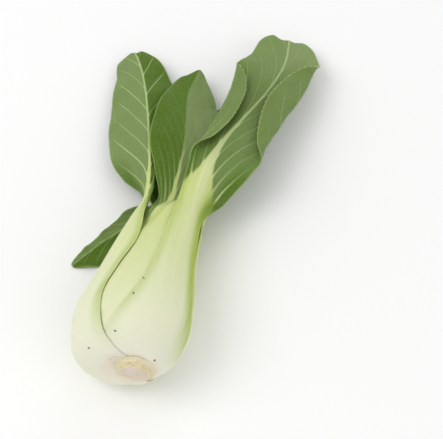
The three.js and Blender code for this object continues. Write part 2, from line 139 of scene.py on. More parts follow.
# %% Camera
PICTURE = (443, 439)
CUT_IN_PICTURE = (134.6, 373.7)
VIEW_AZIMUTH = math.radians(11.6)
VIEW_ELEVATION = math.radians(58)
VIEW_DISTANCE = 0.8
FOCAL_PIXELS = 1493.4
SENSOR = 36


def make_camera():
    sin_a, cos_a = math.sin(VIEW_AZIMUTH), math.cos(VIEW_AZIMUTH)
    sin_e, cos_e = math.sin(VIEW_ELEVATION), math.cos(VIEW_ELEVATION)
    back = Vector((sin_a * cos_e, -cos_a * cos_e, sin_e))
    right = Vector((cos_a, sin_a, 0))
    up = back.cross(right)
    anchor = Vector(lay_down((0, -CUT_DEPTH, 0)) / MM)
    to_metres = VIEW_DISTANCE / FOCAL_PIXELS
    across = (CUT_IN_PICTURE[0] - PICTURE[0] / 2) * to_metres
    above = (PICTURE[1] / 2 - CUT_IN_PICTURE[1]) * to_metres
    place = anchor + back * VIEW_DISTANCE - right * across - up * above
    data = bpy.data.cameras.new("camera")
    data.sensor_width = SENSOR
    data.lens = FOCAL_PIXELS / PICTURE[0] * SENSOR
    data.clip_end = 20
    camera = bpy.data.objects.new("camera", data)
    turn = Matrix((right, up, back)).transposed()
    camera.matrix_world = Matrix.Translation(place) @ turn.to_4x4()
    bpy.context.scene.collection.objects.link(camera)
    bpy.context.scene.camera = camera
    return camera


camera = make_camera()
print("camera at", [round(c, 3) for c in camera.matrix_world.translation])

# %% [markdown]
# The leaves stand in the order of the spiral, outermost first. turn and spread say which way a
# stalk faces and how far round it reaches, sink how deep it lies, thick how fleshy it is. From the
# neck on, spine is the middle line, face the way its back faces, left and right its half-widths,
# fold and curl the bend of its halves, and strip the width of margin that is turned over. rib is
# how thick the midrib is, ripple the height, pitch and start of the margin's waves, blunt how
# square the tip is, notch how far the midrib ends short, corner how far the tip's corners stand
# forward, and mesh the step between rows and the number of columns. A list that ends early keeps
# its last value.
#
# The rest belongs to looks. crown is how wide the pale stalk runs into the blade and how soon it
# narrows, and green_from the station where green begins. veins are their pitch, their fan and how
# far up it reaches, their contrast and how much of it is kept higher up, and how pale the midrib
# is. The four sheen numbers are a painted sheen, the light reflected off the back's left and right
# half and then off the front's, and the tip's number is what the tip has more; where they are low,
# the deep green stands as painted shade. The three olive numbers are how green the stalk's left and
# right sides are, partly their own green and partly painted shade on the side away from the lamp,
# and how far that reaches over its back. The keel number raises a ridge up the middle and paints a
# highlight along it.

# %% Leaves
LEAVES = [
    dict(
        name="leaf_left", turn=[-98, -96, -86, -75, -66, -61, -66, -78, -80],
        spread=[80, 76, 61, 46, 38, 42, 34, 25, 22], sink=[0, 0],
        thick=[2.6, 5, 7.5, 7.5, 6.5, 5.5, 5, 4.5, 4],
        spine=[
            (-21.5, 114, 4), (-24.3, 134, 4.5), (-29.3, 154, 5), (-34.8, 174, 4.5),
            (-41.3, 195, 3.5), (-48.7, 214, 2), (-57, 230, -1),
        ],
        face=[-62, -22, -10, -8, -8, -10, -12], left=[7, 21, 27, 26, 23, 18, 14],
        right=[3.6, 4.1, 14, 22, 21, 15, 9], fold=[8, 14, 14, 13, 12, 10, 8],
        fold_right=[10, 36, 38, 32, 24, 16, 8], curl=[22, 10, 8, 8, 10, 12, 14],
        rib=[3.4, 2.6, 2.3, 2, 1.6, 1.3, 1.1], ripple=(0.8, 1.35, 0.4), blunt=5,
        crown=(1.2, 0.35), veins=(19, 1.2, 30, 0.75, 1.0, 0.8), bloom=(0.82, 0.0, 0.5, 0.5),
        olive=(0.1, 0.7, 0.0), notch=3.2, mesh=(0.045, 95),
    ),
    dict(
        name="leaf_right", turn=[35, 35, 36, 41, 39, 41, 41], spread=[64, 64, 57, 42, 33, 30, 30],
        sink=[0, 0.2, 0.2], thick=[2.6, 5, 8, 8, 7, 6, 5.5, 5, 4.5],
        spine=[
            (9, 113.5, 16), (11.3, 132, 17.5), (16.3, 152, 17.5), (24, 172, 17),
            (31.7, 192, 15.5), (37.3, 212, 13), (40, 232, 10), (38.5, 255.5, 6),
        ],
        face=[30, 12, 8, 8], left=[9.5, 12, 20, 26, 31, 27, 22.5, 17],
        right=[19, 23, 28, 34, 37, 35, 23, 15], fold=[10, 10, 8, 8],
        curl=[18, -6, -8, -10, -10, -8, -4, 0], strip_left=[-8, -4, 4, 7, 6, -3, -9, -9],
        strip_right=[-9, -7, -1, 8, 13, 11, 1, -9], rib=[5, 3.8, 3, 2.4, 2, 1.6, 1.3, 1.1],
        ripple=(1.2, 1.5, 2), blunt=6, crown=(8.5, 0.75), veins=(34, 5, 120, 1.0, 0.3, 0.7),
        bloom=(0.4, 0.6, 0.6, 0.6), olive=(0.5, 1.0, 0.42), keel=1, tip_bloom=0.35, corner=6,
        mesh=(0.042, 119),
    ),
    dict(
        name="leaf_back_left", turn=[-150, -150, -154, -160, -162, -164, -166, -166],
        spread=[60, 60, 58, 48, 38, 30, 28, 26, 26], sink=[0, 0.8, 0.8],
        thick=[2.6, 5, 7, 7, 6, 5, 4.5, 4, 4],
        spine=[
            (-15, 106, -22), (-24, 110.5, -22.4), (-34, 104, -23.2), (-43.5, 94, -24.2),
            (-51, 84, -25.2), (-57, 75.5, -25.9),
        ],
        face=[-172, -178, -182, -182], left=[10, 14, 9, 5.6, 4.2, 3],
        right=[5, 7, 12.5, 15, 11, 5], fold=[8, 4, 2, 2], curl=[14, 2, 0, 0],
        rib=[4, 3, 2.4, 1.8, 1.4, 1.1], ripple=(1.4, 1.1, 1), crown=(2.5, 0.5),
        veins=(15, 2, 30, 0.3, 0.5, 0.3), bloom=(0.5, 0.2, 0.5, 0.0), olive=(0.3, 0.3, 0.1),
        mesh=(0.06, 61),
    ),
    dict(
        name="leaf_back_right", turn=[125, 125, 125, 122, 116, 112, 112],
        spread=[58, 58, 54, 46, 40, 34, 30, 28, 28], sink=[0, 2.6, 2, 0.8, 0.8],
        thick=[2.6, 5, 7, 7, 6, 5, 4.5, 4, 4],
        spine=[
            (14.5, 113, -5.5), (17.5, 131, -9.2), (19.5, 149, -10.5), (21.5, 166, -13),
            (23, 180, -15.2),
        ],
        face=[118, 150, 165, 172, 175], left=[8.5, 11, 12, 11, 8], right=[8.5, 11, 12, 11, 8],
        fold=[10, 8, 6, 6], curl=[24, 14, 10, 8, 8], rib=[4, 3, 2, 1.6, 1.2],
        ripple=(1.2, 1.3, 0), crown=(3, 0.6), veins=(14, 2, 30, 0.5, 0.5, 0.5),
        bloom=(0.3, 0.3, 0.3, 0.3), olive=(0.6, 0.6, 0.2), mesh=(0.07, 55),
    ),
    dict(
        name="leaf_middle", turn=[-12, -12, -12, -10, -6, 0, 8, 13, 14],
        spread=[52, 52, 46, 38, 36, 27, 16, 10, 10], sink=[1.2, 1, 1, 1, 1.3, 1.6, 2, 2],
        thick=[2.4, 4.5, 6, 6, 5.5, 5, 4.5, 4, 3.5],
        spine=[
            (5, 113, 8.8), (10, 131, 9.8), (16.5, 151, 10.5), (23, 171, 10), (29.5, 190, 8.5),
            (34, 207, 6),
        ],
        face=[5, 8, 8], left=[2, 5, 10, 14, 14, 10], right=[6, 13, 17, 17, 15, 10],
        fold=[8, 8], curl=[14, 8, 6, 6], rib=[4, 3, 2.3, 1.8, 1.4, 1.1],
        ripple=(0.8, 1.3, 1), crown=(5, 0.7), veins=(15, 2.4, 30, 0.6, 0.5, 0.5),
        bloom=(0.2, 0.3, 0.4, 0.4), olive=(0.5, 0.4, 0.1), mesh=(0.055, 65),
    ),
    dict(
        name="leaf_under", turn=[180, 180, 180, 180, 180, 182, 184, 186, 186],
        spread=[54, 54, 48, 42, 38, 32, 28, 26, 26], sink=[3, 2.5, 2.2, 2, 2],
        thick=[2.4, 4.5, 6, 6, 5.5, 5, 4.5, 4, 3.5],
        spine=[
            (-5, 113, -14), (-7.5, 132, -14.5), (-11, 152, -14.5), (-15, 172, -13.5),
            (-18, 190, -12),
        ],
        face=[184, 184], left=[8, 13, 16, 15, 11], right=[12, 19, 18, 15, 11],
        fold=[8, 6, 4, 4], curl=[16, 2, 0, 0], rib=[4, 3, 2, 1.5, 1.2],
        ripple=(0.9, 1.3, 2), crown=(5, 0.7), veins=(15, 2.2, 30, 0.6, 0.5, 0.5),
        bloom=(0.4, 0.4, 0.4, 0.4), olive=(0.3, 0.3, 0.1), mesh=(0.07, 55),
    ),
    dict(
        name="leaf_inner", turn=[-40, -40, -36, -30, -22, -20, -18, -12, -8],
        spread=[50, 50, 44, 38, 38, 40, 38, 36, 36], sink=[6, 8, 9, 9, 9, 7.5, 5, 4.5, 5],
        thick=[2, 3.6, 4.6, 4.6, 4.2, 3.8, 3.4, 3, 3],
        spine=[
            (-7, 112, 2.5), (-6.5, 133, 5), (-7.5, 154, 6.3), (-10.8, 175, 6.5), (-14, 196, 5.5),
            (-12, 218.5, 3),
        ],
        face=[-6, -4, -2, 0, 2, 4], left=[7.5, 14.5, 21, 20, 15, 8],
        right=[10.5, 18, 19.5, 20, 17, 9], fold=[-6, -9, -9, -6, 2, 8],
        fold_right=[8, 6, 5, 5, 6, 10], curl=[8, 4, 4, 6, 10, 20],
        rib=[3.4, 2.8, 2.2, 1.8, 1.4, 1.1], ripple=(1, 1.25, 0.2), crown=(0.7, 1.0),
        green_from=5.5, veins=(16, 5, 60, 0.45, 0.12, 0.1), bloom=(0.0, 0.75, 0.4, 0.4),
        olive=(0.3, 0.3, 0.1), mesh=(0.045, 91),
    ),
    dict(
        name="leaf_heart", turn=[90, 90, 95, 100, 100],
        spread=[50, 50, 50, 46, 44, 42, 40, 36, 36], sink=[9, 13, 15, 16, 16, 13, 10, 9, 9],
        thick=[1.8, 2.6, 3.2, 3.4, 3.2, 3, 2.6, 2.4, 2.4],
        spine=[(3.5, 112, -5), (5, 132, -2.8), (5, 152, -2), (6, 173, -2.5), (7, 195, -3.5)],
        face=[75, 30, 10, 4, 4], left=[4.5, 8, 11, 12, 9], right=[5, 9, 12, 12, 9],
        fold=[6, 4, 4], curl=[24, 12, 8, 8], rib=[2.6, 2.2, 1.8, 1.4, 1.1],
        ripple=(0.8, 1.3, 0), crown=(2.5, 0.6), veins=(13, 2, 30, 0.5, 0.5, 0.5),
        bloom=(0.3, 0.4, 0.4, 0.4), olive=(0.2, 0.2, 0.1), mesh=(0.07, 51),
    ),
    dict(
        name="leaf_bud", turn=[-90, -90, -95, -100, -100],
        spread=[48, 48, 50, 50, 50, 50, 46, 44, 44], sink=[10.5, 17, 20, 21, 21, 18, 15, 13, 13],
        thick=[1.6, 2, 2.4, 2.4, 2.2, 2, 1.8, 1.6, 1.6],
        spine=[(-8, 111, -5), (-8.5, 127, -6), (-8.5, 142, -7)],
        face=[-80, -20, 0], left=[4, 5, 4.5], right=[4, 5, 4.5], fold=[6, 6],
        curl=[24, 20, 16], rib=[2, 1.6, 1.2], ripple=(0.5, 1.2, 0), crown=(1.5, 0.6),
        veins=(10, 2, 30, 0.5, 0.5, 0.5), bloom=(0.2, 0.3, 0.4, 0.4), olive=(0.2, 0.2, 0.1),
        mesh=(0.08, 41),
    ),
]
print("leaves:", [leaf["name"] for leaf in LEAVES])

# %% [markdown]
# Small helpers carry most of the shape: an ease between two values, a smooth curve through a list
# of values, and a vector of length 1. Blender's own curves could do this point by point. Whole
# arrays of points keep the script quick.

# %% Curves through values


def ease(x, low, high):
    t = np.clip((x - low) / (high - low), 0, 1)
    return t * t * (3 - 2 * t)


def along(values, t):
    values = np.asarray(values, float)
    first = 2 * values[0] - values[1]
    last = 2 * values[-1] - values[-2]
    padded = np.concatenate([[first], values, [last]])
    at = np.clip(t, 0, len(values) - 1 - 1e-9)
    i = np.floor(at).astype(int)
    f = at - i
    a, b, c, d = (padded[i + k] for k in range(4))
    return 0.5 * (
        2 * b
        + (c - a) * f
        + (2 * a - 5 * b + 4 * c - d) * f**2
        + (3 * b - a - 3 * c + d) * f**3
    )


def unit(vectors):
    return vectors / np.linalg.norm(vectors, axis=-1, keepdims=True)


# %% [markdown]
# The bulb is made of nothing but stalks that wrap each other. They could be modelled one by one and
# pushed apart until none cross. Here a stalk's place is an angle round the axis and a depth under
# the outline, and it sinks by the thickness of the ones that cover it, so the packing follows by
# itself and a stalk comes out from under its neighbour in a soft step. A margin is feathered, so
# that it lies down on the stalk below.

# %% Bulb


def bulb_point(q, turn, depth):
    radius, height, core, shift, lean = (
        along(BULB[key], q) for key in ("radius", "height", "core", "shift", "lean")
    )
    part = depth / np.hypot(radius, core - height)
    r = radius * (1 - part)
    side = r * np.sin(turn)
    lift = height + (core - height) * part + lean * (side - LEAN_CENTRE)
    return np.stack([shift + side, lift, r * np.cos(turn)], -1)


def stalk_thickness(leaf, q, v):
    swell = np.maximum(0, 1 - v * v) ** SWELL
    return EDGE + (along(leaf["thick"], q) - EDGE) * swell


def layer_depth(leaf, q, turn):
    cleared = np.zeros_like(turn)
    for other in LEAVES:
        least = along(other["sink"], q)
        depth = 0.5 * (least + cleared + np.hypot(least - cleared, SOFT_STEP))
        if other is leaf:
            return depth
        spread = np.radians(along(other["spread"], q))
        apart = turn - np.radians(along(other["turn"], q))
        v = ((apart + math.pi) % (2 * math.pi) - math.pi) / spread
        past = (np.abs(v) - 1) * spread * along(BULB["radius"], q)
        held = depth + stalk_thickness(other, q, np.clip(v, -1, 1)) + GAP
        cleared = np.maximum(cleared, held * (1 - ease(past, *COVER)))


def bulb_skin(leaf, q, v):
    turn = np.radians(along(leaf["turn"], q) + v * along(leaf["spread"], q))
    depth = layer_depth(leaf, q, turn)
    outside = bulb_point(q, turn, depth + FEATHER * ease(np.abs(v), FEATHER_FROM, 1))
    inside = bulb_point(q, turn, depth + stalk_thickness(leaf, q, v))
    return outside, inside


# %% [markdown]
# Each leaf's lists get two more stations at their start, worked out from the bulb, so that the
# blade's own curve runs on smoothly from the stalk.

# %% Join each blade to its stalk
STALK_WIDTH = 0.9


def prepare(leaf):
    before = np.array([NECK - 2, NECK - 1], float)
    outside, _ = bulb_skin(leaf, before, np.zeros(2))
    wide = np.radians(along(leaf["spread"], before)) * along(BULB["radius"], before)
    wide = list(wide * STALK_WIDTH)
    leaf["spine"] = np.concatenate([outside, np.array(leaf["spine"], float)])
    leaf["face"] = list(along(leaf["turn"], before)) + leaf["face"]
    leaf["left"] = wide + leaf["left"]
    leaf["right"] = wide + leaf["right"]
    leaf["fold"] = [0, 0] + leaf["fold"]
    leaf["fold_right"] = [0, 0] + leaf["fold_right"] if "fold_right" in leaf else leaf["fold"]
    leaf["curl"] = list(along(leaf["spread"], before)) + leaf["curl"]
    leaf["rib"] = list(along(leaf["thick"], before)) + leaf["rib"]
    leaf["turned"] = "strip_left" in leaf
    for key in ("strip_left", "strip_right"):
        leaf[key] = [NO_STRIP, NO_STRIP] + leaf.get(key, [NO_STRIP] * 2)
    leaf["end"] = NECK + len(leaf["spine"]) - 3


for leaf in LEAVES:
    prepare(leaf)
print("last stations:", {leaf["name"]: leaf["end"] for leaf in LEAVES})

# %% [markdown]
# A blade is a thin sheet on a thick midrib. It could be a flat sheet that modifiers bend, but the
# turned margins need a bend that moves along the leaf. So it is drawn section by section: flat at
# the midrib, folded down on both sides, and rolled right over near the margin. The slope is summed
# up from the midrib outwards, so the width along the leaf's surface stays true however it curls.

# %% Blade
FINE_EDGE = 0.55
SECTION_STEPS = 24
LOOK_AHEAD = 0.05
CREASE = 0.15
BLADE_FROM = -0.7
BLADE_BY = 0.5
RIB_SKIRT = 1.2
RIB_PROUD = 0.55
RIPPLE_SHARE = (0.35, 1.15)


def near_tip(leaf, q):
    return np.clip((q - (leaf["end"] - TIP_ROUND)) / TIP_ROUND, 0, 1)


def by_side(leaf, key, q, side):
    left_key, right_key = key
    t = q - NECK + 2
    return np.where(side > 0, along(leaf[right_key], t), along(leaf[left_key], t))


def half_width(leaf, q, side):
    blunt = leaf.get("blunt", 3)
    rounded = np.sqrt(np.maximum(1 - near_tip(leaf, q) ** blunt, 0))
    return np.maximum(by_side(leaf, ("left", "right"), q, side) * rounded, TIP_LEAST)


def bend_of(leaf, q, side, half):
    strip = by_side(leaf, ("strip_left", "strip_right"), q, side)
    end = 1 - strip / half
    turned = ease(strip, *ROLL_FROM) * ease(leaf["end"] - q, *ROLL_FADE)
    return end - ROLL_WIDTH / half, end, ROLL * turned


def blade_skin(leaf, q, v):
    t = q - NECK + 2
    spine = [leaf["spine"][:, axis] for axis in range(3)]
    last = len(leaf["spine"]) - 1
    point = np.stack([along(axis, t) for axis in spine], -1)
    ahead = np.stack([along(axis, np.minimum(t + LOOK_AHEAD, last)) for axis in spine], -1)
    inner_t = np.minimum(t, last)
    back_t = np.maximum(inner_t - LOOK_AHEAD, 0)
    behind = np.stack([along(axis, back_t) for axis in spine], -1)
    direction = unit(ahead - behind)
    facing = np.radians(along(leaf["face"], t))
    out = np.stack([np.sin(facing), np.zeros_like(facing), np.cos(facing)], -1)
    across = unit(np.cross(direction, out))
    normal = np.cross(across, direction)

    side = np.where(v < 0, -1.0, 1.0)
    share = np.abs(v)
    half = half_width(leaf, q, side)
    fold = np.radians(by_side(leaf, ("fold", "fold_right"), q, side))
    curl = np.radians(along(leaf["curl"], t))
    bend_start, bend_end, roll = bend_of(leaf, q, side, half)

    def slope(s):
        bent = roll * ease(s, bend_start, bend_end)
        return fold * ease(s, -CREASE, CREASE) + curl * s - bent

    step = share / SECTION_STEPS
    reach = np.zeros_like(share)
    rise = np.zeros_like(share)
    for i in range(SECTION_STEPS):
        angle = slope((i + 0.5) * step)
        reach += np.cos(angle) * step * half
        rise -= np.sin(angle) * step * half
    tilt = slope(share)[..., None]
    sheet_normal = normal * np.cos(tilt) + across * side[..., None] * np.sin(tilt)

    blade = ease(q, NECK + BLADE_FROM, NECK + BLADE_BY)
    rib = along(leaf["rib"], t)
    rib_width = half + (RIB_SKIRT + rib - half) * ease(q, NECK - 0.5, NECK + 1)
    rounded = (1 - share * share) ** SWELL
    bell = rounded + (np.exp(-((share * half / rib_width) ** 2)) - rounded) * blade
    edge = EDGE + (1 - EDGE) * blade
    thickness = edge + np.maximum(rib - edge, 0) * bell
    proud = (thickness - edge) * RIB_PROUD * blade
    thin = (1 - FINE_EDGE) * blade * (1 - bell)

    size, pitch, phase = leaf["ripple"]
    wave = np.sin(2 * math.pi * q / pitch + phase + side * 1.3) * size
    calm = (1 - 0.8 * near_tip(leaf, q)) * (1 - 0.9 * roll / ROLL)
    ripple = wave * blade * ease(share, *RIPPLE_SHARE) * calm

    along_normal = (proud + ripple)[..., None]
    outside = point + across * (side * reach)[..., None] + normal * rise[..., None]
    outside = outside + sheet_normal * along_normal
    inward = unit(sheet_normal + (normal - sheet_normal) * bell[..., None])
    inside = outside - inward * (thickness - thin)[..., None]
    return outside, inside


def leaf_skin(leaf, q, v):
    free = ease(q, FREE_FROM, FREE_BY)[..., None]
    stalk_out, stalk_in = bulb_skin(leaf, np.minimum(q, FREE_BY), v)
    blade_out, blade_in = blade_skin(leaf, np.maximum(q, FREE_FROM), v)
    outside = stalk_out + (blade_out - stalk_out) * free
    inside = stalk_in + (blade_in - stalk_in) * free
    return outside, inside


# %% [markdown]
# Side veins could be drawn as curves or painted. Here they are worked out once, as the lines where
# a smooth number, the vein phase, is whole, and used twice, to raise the skin and to colour it.
# Near the neck they run almost along the stalk and fan out from it. Further up they leave the
# midrib steeply and then swing out towards the margin, and no two are equally strong. The pale
# stalk itself runs into the blade as a wedge, which is the crown.

# %% Veins
VEIN_SLOPE = 1.1
VEIN_START = 14
VEIN_SPRING = 11.0
SPRING_REACH = 8.0
CROWN_FROM = 7.2
RIB_LEAST = 0.45


def arc_length(leaf):
    q = np.linspace(0, leaf["end"], 400)
    outside, _ = leaf_skin(leaf, q, np.zeros_like(q))
    steps = np.linalg.norm(np.diff(outside, axis=0), axis=1)
    total = np.concatenate([[0], np.cumsum(steps)])
    return q, total - np.interp(NECK, q, total)


def vein_fields(leaf, q, v):
    side = np.where(v < 0, -1.0, 1.0)
    s = np.interp(q, *arc_length(leaf))
    stalk_half = np.radians(along(leaf["spread"], q)) * along(BULB["radius"], q)
    free = ease(q, FREE_FROM, FREE_BY)
    half = stalk_half + (half_width(leaf, q, side) - stalk_half) * free
    a = np.abs(v) * half
    pitch, fan_size, fan_fade, contrast, kept, rib_show = leaf["veins"]
    fan = fan_size * np.exp(-np.clip(s, -45, 400) / fan_fade)
    spring = np.exp(-a / SPRING_REACH)
    offset = (VEIN_SLOPE + fan) * a + VEIN_SPRING * (1 - spring)
    slope = VEIN_SLOPE + fan + VEIN_SPRING / SPRING_REACH * spring
    wobble = 0.1 * np.sin(a * 0.11 + s * 0.045 + side * 2)
    crown_width, crown_fade = leaf["crown"]
    crown = RIB_LEAST + crown_width * np.exp(np.clip((CROWN_FROM - q) / crown_fade, -8, 4))
    green_from = leaf.get("green_from", NECK - 0.5)
    off_crown = (a - crown) / (0.3 + 0.22 * crown)
    blade = ease(q, green_from - 0.4, green_from + 0.8)
    fade = (1 - ease(np.abs(v), 0.6, 0.98)) * (1 - 0.5 * near_tip(leaf, q))
    fade = fade * (kept + (1 - kept) * np.exp(-np.clip(s - 8, 0, 400) / 16))
    phase = (s + VEIN_START - offset) / pitch + wobble + side * 0.24
    fade = fade * (0.75 + 0.25 * np.sin(np.round(phase) * 2.4 + side))
    return dict(
        length=s,
        across=side * a,
        phase=phase,
        spacing=pitch / np.hypot(1 + fan / fan_fade * a, slope),
        strength=fade * blade * contrast,
        vein_width=0.38 + 0.75 * np.exp(-np.clip(s, 0, 400) / 18),
        rib_edge=np.minimum(off_crown, (q - green_from) * 3),
        rib_show=np.full_like(q, rib_show),
        half=half,
    )


def ridge(distance, width):
    return np.exp(-((distance / width) ** 2))


print("vein pitches:", {leaf["name"]: leaf["veins"][0] for leaf in LEAVES})

# %% [markdown]
# The same skin isn't one colour all over, and some of the colour stands for light. A painted sheen
# lightens the halves of a blade that face the light, and the halves turned away keep the deep green
# as painted shade. The sides of a stalk are greener than its back, partly their own colour and
# partly painted shade on the side away from the lamp, and a painted highlight runs up the keel of
# the widest stalk. These go with the mesh as numbers between 0 and 1, so that one finish can serve
# all leaves.

# %% Painted sheen, greener sides with painted shade, and keel highlight


def tint_fields(leaf, q, v):
    right = v > 0
    share = np.abs(v)
    # Painted sheen: light reflected off each half, more near the tip; low sheen is painted shade.
    left_painted_sheen, right_painted_sheen, front_left, front_right = leaf["bloom"]
    across_fold = ease(v, -0.06, 0.06)
    bloom = left_painted_sheen + (right_painted_sheen - left_painted_sheen) * across_fold
    bloom = bloom + leaf.get("tip_bloom", 0) * ease(q, leaf["end"] - 3, leaf["end"] - 0.6)
    front_bloom = front_left + (front_right - front_left) * across_fold
    # Painted shade: low on the blade the sheen fades near the margins, which curl under.
    bloom = bloom * (1 - 0.9 * ease(share, 0.45, 0.8) * (1 - ease(q, 7.6, 9.2)))
    margin = ease(share, 0.9, 0.97) * ease(q, 1.5, 4.0) * 0.5
    # Greener sides: own green, and painted shade on the side away from the lamp and by the margin.
    left_olive_and_shade, right_olive_and_shade, reach_down = leaf["olive"]
    reach = np.where(right, reach_down, 0.05) + 0.16 * ease(q, 3.5, 6.8)
    olive = np.where(right, right_olive_and_shade, left_olive_and_shade) * ease(q, 0.8, 3.4)
    olive = np.maximum(olive * ease(share, 0.7 - reach, 1.0 - reach * 0.5), margin)
    # Painted highlight along the keel ridge of the widest stalk.
    keel = ridge(share - 0.06, 0.13) * ease(q, 3.6, 5.6) * leaf.get("keel", 0)
    return dict(bloom=bloom, front_bloom=front_bloom, olive=olive, keel=keel)


# %% [markdown]
# A leaf's mesh is two grids, the back and the front of the sheet, sewn together round the rim.
# Columns gather where a margin turns over, and rows where the tip rounds off. Fine ribs run up the
# stalk, side veins stand out on the back, and the blade swells a little between them.

# %% Grid of a leaf
BEND_COLUMNS = (0.5, 0.8)
TIP_ROWS = 26


def column_share(leaf, q, column):
    if not leaf["turned"]:
        return column
    side = np.where(column < 0, -1.0, 1.0)
    bend_start, bend_end, _ = bend_of(leaf, q, side, half_width(leaf, q, side))
    start = np.clip(bend_start, 0.4, 0.78)
    end = np.minimum(np.maximum(bend_end, start + 0.1), 0.92)
    u = np.abs(column)
    low, high = BEND_COLUMNS
    inner = start * u / low
    middle = start + (end - start) * (u - low) / (high - low)
    outer = end + (1 - end) * (u - high) / (1 - high)
    return side * np.where(u < low, inner, np.where(u < high, middle, outer))


def grid_of(leaf):
    row_step, columns = leaf["mesh"]
    body = np.arange(0, leaf["end"] - TIP_ROUND, row_step)
    turn = np.linspace(0, math.pi / 2, TIP_ROWS)
    tip = leaf["end"] - TIP_ROUND * (1 - np.sin(turn))
    q = np.concatenate([body, tip])
    q, column = np.meshgrid(q, np.linspace(-1, 1, columns), indexing="ij")
    return q, column_share(leaf, q, column)


print("grid of the right leaf:", grid_of(LEAVES[1])[0].shape)

# %% [markdown]
# The relief of the skin is real shape, since bumps in a finish would vanish from the outline. It
# is a sum of small waves. Stalks have fine ribs along them, blades have
# raised veins with soft pillows between, and the margin wavers. A leaf's tip can have a notch,
# where the midrib ends short of the two halves, or corners that stand forward.

# %% Relief of the skin
FINE_RIBS = 0.04
BROAD_RIBS = 0.1
KEEL_HEIGHT = 0.7
VEIN_HEIGHT = 0.34
PILLOW = 0.5
SMALL_CRUMPLE = 0.12
BROAD_CRUMPLE = 0.3
WAVER = 0.7
TIP_BACK = 0.45


def skin_detail(leaf, q, v, veins):
    a = veins["across"]
    s = veins["length"]
    share = np.abs(v)
    free = ease(q, NECK - 0.6, NECK + 0.8)
    ribs = np.sin(a * 2.1 + 0.6 * np.sin(q * 1.3)) * FINE_RIBS
    ribs = ribs + np.sin(a * 0.83 + q * 0.4) * BROAD_RIBS
    ribs = ribs * (1 - free) * ease(q, 1.5, 4.5)
    keel = ridge(a, 4.2) * ease(q, 4.0, 6.5) * (1 - free) * KEEL_HEIGHT * leaf.get("keel", 0)
    off_line = np.abs(veins["phase"] - np.round(veins["phase"])) * veins["spacing"]
    raised = VEIN_HEIGHT * ridge(off_line, 0.8) * veins["strength"]
    calm = ease(share, 0.06, 0.3) * (1 - 0.6 * ease(share, 0.7, 1.0))
    pillow = -PILLOW * np.cos(2 * math.pi * veins["phase"]) * veins["strength"] * free * calm
    crumple = np.sin(s * 0.55 + a * 0.21) * np.sin(a * 0.6) * SMALL_CRUMPLE
    broad = np.sin(s * 0.21 + a * 0.4 + 1) * np.sin(a * 0.27 - s * 0.06) * BROAD_CRUMPLE
    crumple = (crumple + broad) * free * ease(share, 0.1, 0.5)
    return ribs + keel + raised, pillow + crumple


def tip_shift(leaf, q, v, veins):
    near = near_tip(leaf, q)
    notch = leaf.get("notch", 0) * ease(near, 0.35, 1.0) * ridge(veins["across"] - 1, 2.6)
    waver = WAVER * np.sin(veins["across"] * 0.42 + 1) * ease(near, 0.4, 1.0)
    corner = (ease(np.abs(veins["across"]), 2, 11) - TIP_BACK) * ease(near, 0.1, 0.8)
    return waver + corner * leaf.get("corner", 0) - notch


# %% [markdown]
# Now the meshes themselves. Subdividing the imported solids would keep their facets, so each leaf is
# built anew from arrays of points, and the numbers that the finishes need are stored beside them
# as attributes.

# %% Leaf meshes


def sheet_faces(rows, columns):
    r, c = np.meshgrid(np.arange(rows - 1), np.arange(columns - 1), indexing="ij")
    a = (r * columns + c).ravel()
    outer = np.stack([a, a + 1, a + 1 + columns, a + columns], 1)
    inner = outer[:, ::-1] + rows * columns
    bottom = np.arange(columns - 1)
    right = np.arange(rows - 1) * columns + columns - 1
    top = (rows - 1) * columns + np.arange(columns - 1, 0, -1)
    left = np.arange(rows - 1, 0, -1) * columns
    rim = np.concatenate([bottom, right, top, left])
    following = np.roll(rim, -1)
    deep = rows * columns
    around = np.stack([rim, rim + deep, following + deep, following], 1)
    return np.concatenate([outer, inner, around])


def new_object(name, points, faces):
    mesh = bpy.data.meshes.new(name)
    mesh.from_pydata((points / MM).tolist(), [], faces.tolist())
    mesh.validate()
    mesh.shade_smooth()
    made = bpy.data.objects.new(name, mesh)
    bpy.context.scene.collection.objects.link(made)
    return made


def store(mesh, name, values):
    attribute = mesh.attributes.new(name, "FLOAT", "POINT")
    attribute.data.foreach_set("value", np.asarray(values, np.float32).ravel())


def make_leaf(leaf):
    q, v = grid_of(leaf)
    veins = vein_fields(leaf, q, v)
    outside, inside = leaf_skin(leaf, q, v)
    along_rows = np.gradient(outside, axis=0)
    along_columns = np.gradient(outside, axis=1)
    normal = unit(np.cross(along_columns, along_rows) + 1e-9)
    raised, moved = skin_detail(leaf, q, v, veins)
    middle = along_rows[:, along_rows.shape[1] // 2, None]
    forward = unit(middle + 1e-9) * tip_shift(leaf, q, v, veins)[..., None]
    outside = outside + normal * (raised + moved)[..., None] + forward
    inside = inside + normal * moved[..., None] + forward
    outside, inside = rest_on_table(lay_down(outside), lay_down(inside))
    points = np.concatenate([outside.reshape(-1, 3), inside.reshape(-1, 3)])
    made = new_object(leaf["name"] + "_skin", points, sheet_faces(*q.shape))
    fields = dict(veins, station=q, share=np.abs(v), **tint_fields(leaf, q, v))
    for name, values in fields.items():
        flat = np.broadcast_to(values, q.shape).ravel()
        store(made.data, name, np.concatenate([flat, flat]))
    back = np.concatenate([np.ones(q.size), np.zeros(q.size)])
    store(made.data, "back", back)
    leaf["grid"] = (q, outside, inside)
    print(made.name, len(made.data.polygons) * 2, "triangles")
    return made


leaf_objects = {leaf["name"]: make_leaf(leaf) for leaf in LEAVES}

# %% [markdown]
# Finishes are node trees, and the sums in them read best as plain Python. One small class wraps a
# socket, so that adding or multiplying two wrapped sockets adds the Math node that does it. A Mix
# node has a set of sockets for each kind of value, so those for colours are chosen by number.

# %% Shader helper
MIX_INPUTS = (0, 6, 7)
MIX_OUTPUT = 2


